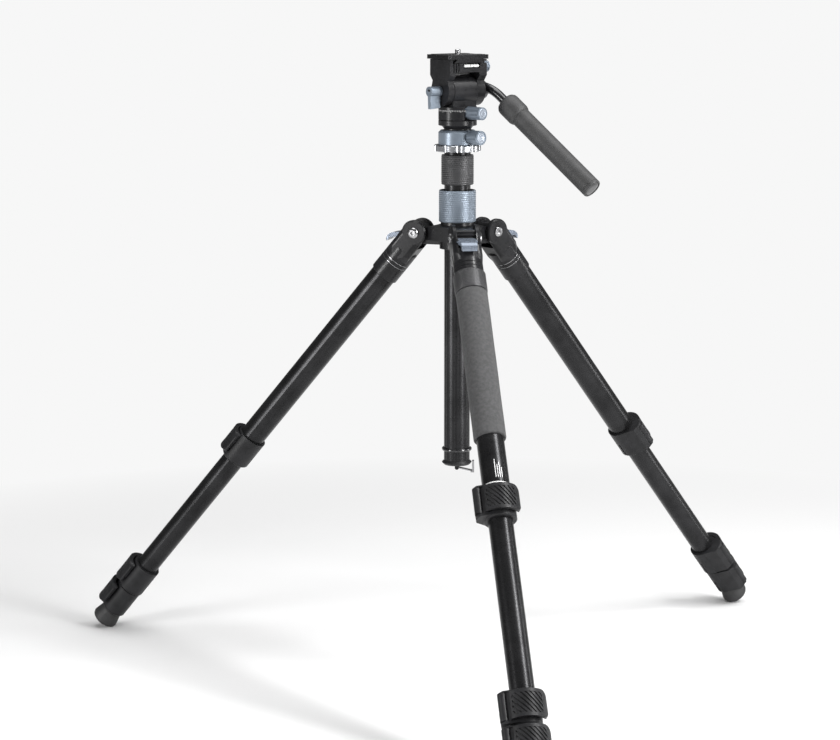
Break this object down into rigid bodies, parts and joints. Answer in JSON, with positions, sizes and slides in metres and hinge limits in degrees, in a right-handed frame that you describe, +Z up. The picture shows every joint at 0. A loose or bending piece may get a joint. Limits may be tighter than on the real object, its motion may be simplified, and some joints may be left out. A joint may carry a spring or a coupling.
{
  "type": "camera tripod with fluid head",
  "caption": "Compact camera tripod with flip-lock telescoping legs, a sliding centre column and a pan and tilt video head with a handle.",
  "frame": {"origin": "on the floor, under the centre column's axis, with the feet resting at z = 0", "axes": "+Z up along the centre column; leg 1, the leg with the foam grip, runs out along -Y; the head faces 26.5 degrees anticlockwise of +Y"},
  "size_m": [0.7776, 0.6825, 0.6703],
  "materials": {
    "black_casting": "satin black die-cast paint",
    "black_anodised": "satin black anodised",
    "blue_grey_anodised": "satin blue-grey anodised",
    "polished_ring": "polished",
    "steel": "turned and lightly brushed",
    "black_plastic": "fine-textured glass-filled nylon",
    "foam": "closed-cell foam",
    "rubber": "matt moulded rubber",
    "black_steel": "gloss black coated steel"
  },
  "bodies": {
    "frame": {"spider": "black_casting", "leg_hinge_bolts": "steel"},
    "leg_1_upper": {"leg_1_shoulder": "black_casting", "leg_1_tube_1": "black_anodised", "leg_1_lock_1": "black_plastic", "leg_1_foam_grip": "foam"},
    "leg_1_latch": {"leg_1_latch": "blue_grey_anodised"},
    "leg_1_middle": {"leg_1_tube_2": "black_anodised", "leg_1_lock_2": "black_plastic"},
    "leg_1_lower": {"leg_1_tube_3": "black_anodised", "leg_1_lock_3": "black_plastic"},
    "leg_1_foot": {"leg_1_foot": "rubber"},
    "leg_1_lever_1": {"leg_1_lever_1": "black_plastic"},
    "leg_1_lever_2": {"leg_1_lever_2": "black_plastic"},
    "leg_1_lever_3": {"leg_1_lever_3": "black_plastic"},
    "leg_2_upper": {"leg_2_shoulder": "black_casting", "leg_2_tube_1": "black_anodised", "leg_2_lock_1": "black_plastic"},
    "leg_2_latch": {"leg_2_latch": "blue_grey_anodised"},
    "leg_2_middle": {"leg_2_tube_2": "black_anodised", "leg_2_lock_2": "black_plastic"},
    "leg_2_lower": {"leg_2_tube_3": "black_anodised", "leg_2_lock_3": "black_plastic"},
    "leg_2_foot": {"leg_2_foot": "rubber"},
    "leg_2_lever_1": {"leg_2_lever_1": "black_plastic"},
    "leg_2_lever_2": {"leg_2_lever_2": "black_plastic"},
    "leg_2_lever_3": {"leg_2_lever_3": "black_plastic"},
    "leg_3_upper": {"leg_3_shoulder": "black_casting", "leg_3_tube_1": "black_anodised", "leg_3_lock_1": "black_plastic"},
    "leg_3_latch": {"leg_3_latch": "blue_grey_anodised"},
    "leg_3_middle": {"leg_3_tube_2": "black_anodised", "leg_3_lock_2": "black_plastic"},
    "leg_3_lower": {"leg_3_tube_3": "black_anodised", "leg_3_lock_3": "black_plastic"},
    "leg_3_foot": {"leg_3_foot": "rubber"},
    "leg_3_lever_1": {"leg_3_lever_1": "black_plastic"},
    "leg_3_lever_2": {"leg_3_lever_2": "black_plastic"},
    "leg_3_lever_3": {"leg_3_lever_3": "black_plastic"},
    "leg_1_coupling_ring": {"leg_1_coupling_ring": "black_anodised"},
    "column": {"centre_column": "black_anodised", "column_end_cap": "black_plastic", "coupler_ring": "blue_grey_anodised", "pan_base": "black_casting"},
    "column_lock": {"column_lock_collar": "blue_grey_anodised"},
    "hook": {"column_hook": "steel"},
    "sleeve": {"column_grip_sleeve": "black_anodised"},
    "lock_ring": {"coupler_lock_ring": "polished_ring"},
    "coupler_knob": {"coupler_knob": "blue_grey_anodised"},
    "pan": {"pan_housing": "black_casting"},
    "pan_knob": {"pan_knob": "blue_grey_anodised"},
    "tilt": {"tilt_cradle": "black_casting"},
    "tilt_lever": {"tilt_lever": "blue_grey_anodised"},
    "plate": {"quick_release_plate": "black_anodised"},
    "camera_screw": {"camera_screw": "steel"},
    "clamp_jaw": {"clamp_jaw": "black_anodised"},
    "clamp_knob": {"clamp_knob": "blue_grey_anodised"},
    "handle": {"handle_rod": "black_steel", "handle_grip": "rubber"},
    "handle_knob": {"handle_knob": "steel"}
  },
  "joints": [
    {"name": "leg_1_spread", "type": "hinge", "parent": "frame", "child": "leg_1_upper", "pos_m": [0, -0.0447, 0.47499], "axis": [-1, 0, 0], "range_deg": [-39.5, 40]},
    {"name": "leg_1_latch_pull", "type": "slide", "parent": "leg_1_upper", "child": "leg_1_latch", "axis": [0, -0.9914, -0.1305], "range_m": [0, 0.004], "stiffness_N_per_m": 400, "springref_m": -0.003},
    {"name": "leg_1_extend_2", "type": "slide", "parent": "leg_1_upper", "child": "leg_1_middle", "axis": [0, -0.6428, -0.766], "range_m": [-0.1836, 0.0125]},
    {"name": "leg_1_extend_3", "type": "slide", "parent": "leg_1_middle", "child": "leg_1_lower", "axis": [0, -0.6428, -0.766], "range_m": [0, 0.2137]},
    {"name": "leg_1_extend_4", "type": "slide", "parent": "leg_1_lower", "child": "leg_1_foot", "axis": [0, -0.6428, -0.766], "range_m": [0, 0.2394]},
    {"name": "leg_1_lever_1_flip", "type": "hinge", "parent": "leg_1_upper", "child": "leg_1_lever_1", "pos_m": [-0.0215, -0.25363, 0.23688], "axis": [0, -0.6428, -0.766], "range_deg": [0, 110]},
    {"name": "leg_1_lever_2_flip", "type": "hinge", "parent": "leg_1_middle", "child": "leg_1_lever_2", "pos_m": [-0.0215, -0.39453, 0.06896], "axis": [0, -0.6428, -0.766], "range_deg": [0, 110]},
    {"name": "leg_1_lever_3_flip", "type": "hinge", "parent": "leg_1_lower", "child": "leg_1_lever_3", "pos_m": [-0.0215, -0.41748, 0.04161], "axis": [0, -0.6428, -0.766], "range_deg": [0, 110]},
    {"name": "leg_2_spread", "type": "hinge", "parent": "frame", "child": "leg_2_upper", "pos_m": [-0.03871, 0.02235, 0.47499], "axis": [0.5, 0.866, 0], "range_deg": [-39.5, 40]},
    {"name": "leg_2_latch_pull", "type": "slide", "parent": "leg_2_upper", "child": "leg_2_latch", "axis": [-0.8586, 0.4957, -0.1305], "range_m": [0, 0.004], "stiffness_N_per_m": 400, "springref_m": -0.003},
    {"name": "leg_2_extend_2", "type": "slide", "parent": "leg_2_upper", "child": "leg_2_middle", "axis": [-0.5567, 0.3214, -0.766], "range_m": [-0.1746, 0.0215]},
    {"name": "leg_2_extend_3", "type": "slide", "parent": "leg_2_middle", "child": "leg_2_lower", "axis": [-0.5567, 0.3214, -0.766], "range_m": [0, 0.2137]},
    {"name": "leg_2_extend_4", "type": "slide", "parent": "leg_2_lower", "child": "leg_2_foot", "axis": [-0.5567, 0.3214, -0.766], "range_m": [0, 0.2394]},
    {"name": "leg_2_lever_1_flip", "type": "hinge", "parent": "leg_2_upper", "child": "leg_2_lever_1", "pos_m": [-0.21391, 0.14833, 0.22998], "axis": [-0.5567, 0.3214, -0.766], "range_deg": [0, 110]},
    {"name": "leg_2_lever_2_flip", "type": "hinge", "parent": "leg_2_middle", "child": "leg_2_lever_2", "pos_m": [-0.33093, 0.21589, 0.06896], "axis": [-0.5567, 0.3214, -0.766], "range_deg": [0, 110]},
    {"name": "leg_2_lever_3_flip", "type": "hinge", "parent": "leg_2_lower", "child": "leg_2_lever_3", "pos_m": [-0.3508, 0.22736, 0.04161], "axis": [-0.5567, 0.3214, -0.766], "range_deg": [0, 110]},
    {"name": "leg_3_spread", "type": "hinge", "parent": "frame", "child": "leg_3_upper", "pos_m": [0.03871, 0.02235, 0.47499], "axis": [0.5, -0.866, 0], "range_deg": [-39.5, 40]},
    {"name": "leg_3_latch_pull", "type": "slide", "parent": "leg_3_upper", "child": "leg_3_latch", "axis": [0.8586, 0.4957, -0.1305], "range_m": [0, 0.004], "stiffness_N_per_m": 400, "springref_m": -0.003},
    {"name": "leg_3_extend_2", "type": "slide", "parent": "leg_3_upper", "child": "leg_3_middle", "axis": [0.5567, 0.3214, -0.766], "range_m": [-0.1746, 0.0215]},
    {"name": "leg_3_extend_3", "type": "slide", "parent": "leg_3_middle", "child": "leg_3_lower", "axis": [0.5567, 0.3214, -0.766], "range_m": [0, 0.2137]},
    {"name": "leg_3_extend_4", "type": "slide", "parent": "leg_3_lower", "child": "leg_3_foot", "axis": [0.5567, 0.3214, -0.766], "range_m": [0, 0.2394]},
    {"name": "leg_3_lever_1_flip", "type": "hinge", "parent": "leg_3_upper", "child": "leg_3_lever_1", "pos_m": [0.23541, 0.11109, 0.22998], "axis": [0.5567, 0.3214, -0.766], "range_deg": [0, 110]},
    {"name": "leg_3_lever_2_flip", "type": "hinge", "parent": "leg_3_middle", "child": "leg_3_lever_2", "pos_m": [0.35242, 0.17865, 0.06896], "axis": [0.5567, 0.3214, -0.766], "range_deg": [0, 110]},
    {"name": "leg_3_lever_3_flip", "type": "hinge", "parent": "leg_3_lower", "child": "leg_3_lever_3", "pos_m": [0.3723, 0.19012, 0.04161], "axis": [0.5567, 0.3214, -0.766], "range_deg": [0, 110]},
    {"name": "leg_1_coupling_turn", "type": "hinge", "parent": "leg_1_upper", "child": "leg_1_coupling_ring", "pos_m": [0, -0.08327, 0.42902], "axis": [0, -0.6428, -0.766], "range_deg": [0, 180]},
    {"name": "column_height", "type": "slide", "parent": "frame", "child": "column", "axis": [0, 0, 1], "range_m": [-0.005, 0.21]},
    {"name": "column_lock_turn", "type": "hinge", "parent": "frame", "child": "column_lock", "pos_m": [0, 0, 0.50199], "axis": [0, 0, 1], "range_deg": [0, 90]},
    {"name": "sleeve_turn", "type": "hinge", "parent": "column", "child": "sleeve", "pos_m": [0, 0, 0.54099], "axis": [0, 0, 1], "range_deg": [0, 180]},
    {"name": "lock_ring_turn", "type": "hinge", "parent": "column", "child": "lock_ring", "pos_m": [0, 0, 0.56399], "axis": [0, 0, 1], "range_deg": [0, 45]},
    {"name": "hook_swing", "type": "hinge", "parent": "column", "child": "hook", "pos_m": [0, 0, 0.22019], "axis": [0.165, 0.9863, 0], "range_deg": [0, 85]},
    {"name": "coupler_knob_turn", "type": "hinge", "parent": "column", "child": "coupler_knob", "pos_m": [0.01621, -0.02525, 0.57849], "axis": [0.5402, -0.8415, 0], "range_deg": [0, 360]},
    {"name": "pan", "type": "hinge", "parent": "column", "child": "pan", "pos_m": [0, 0, 0.60199], "axis": [0, 0, 1], "continuous": true},
    {"name": "pan_knob_turn", "type": "hinge", "parent": "pan", "child": "pan_knob", "pos_m": [0.01691, -0.02478, 0.60399], "axis": [0.5635, -0.8261, 0], "range_deg": [0, 360]},
    {"name": "tilt", "type": "hinge", "parent": "pan", "child": "tilt", "pos_m": [0, 0, 0.62679], "axis": [0.8949, 0.4462, 0], "range_deg": [-75, 40]},
    {"name": "tilt_lever_turn", "type": "hinge", "parent": "tilt", "child": "tilt_lever", "pos_m": [-0.02685, -0.01339, 0.62679], "axis": [0.8949, 0.4462, 0], "range_deg": [0, 90]},
    {"name": "plate_slide", "type": "slide", "parent": "tilt", "child": "plate", "axis": [-0.4462, 0.8949, 0], "range_m": [-0.012, 0.012]},
    {"name": "camera_screw_turn", "type": "hinge", "parent": "plate", "child": "camera_screw", "pos_m": [0, 0, 0.66499], "axis": [0, 0, 1], "continuous": true},
    {"name": "clamp_knob_turn", "type": "hinge", "parent": "tilt", "child": "clamp_knob", "pos_m": [0.02729, 0.00802, 0.65189], "axis": [0.8949, 0.4462, 0], "range_deg": [0, 360]},
    {"name": "clamp_jaw_open", "type": "slide", "parent": "tilt", "child": "clamp_jaw", "axis": [0.8949, 0.4462, 0], "range_m": [0, 0.0025]},
    {"name": "handle_angle", "type": "hinge", "parent": "tilt", "child": "handle", "pos_m": [0.02685, 0.01339, 0.62679], "axis": [-0.8949, -0.4462, 0], "range_deg": [-20, 40]},
    {"name": "handle_knob_turn", "type": "hinge", "parent": "handle", "child": "handle_knob", "pos_m": [0.03222, 0.01606, 0.62679], "axis": [0.8949, 0.4462, 0], "range_deg": [0, 360]}
  ],
  "couplings": [
    {"joint": "clamp_knob_turn", "follows": "clamp_jaw_open", "rad_per_m": 2513.3}
  ]
}
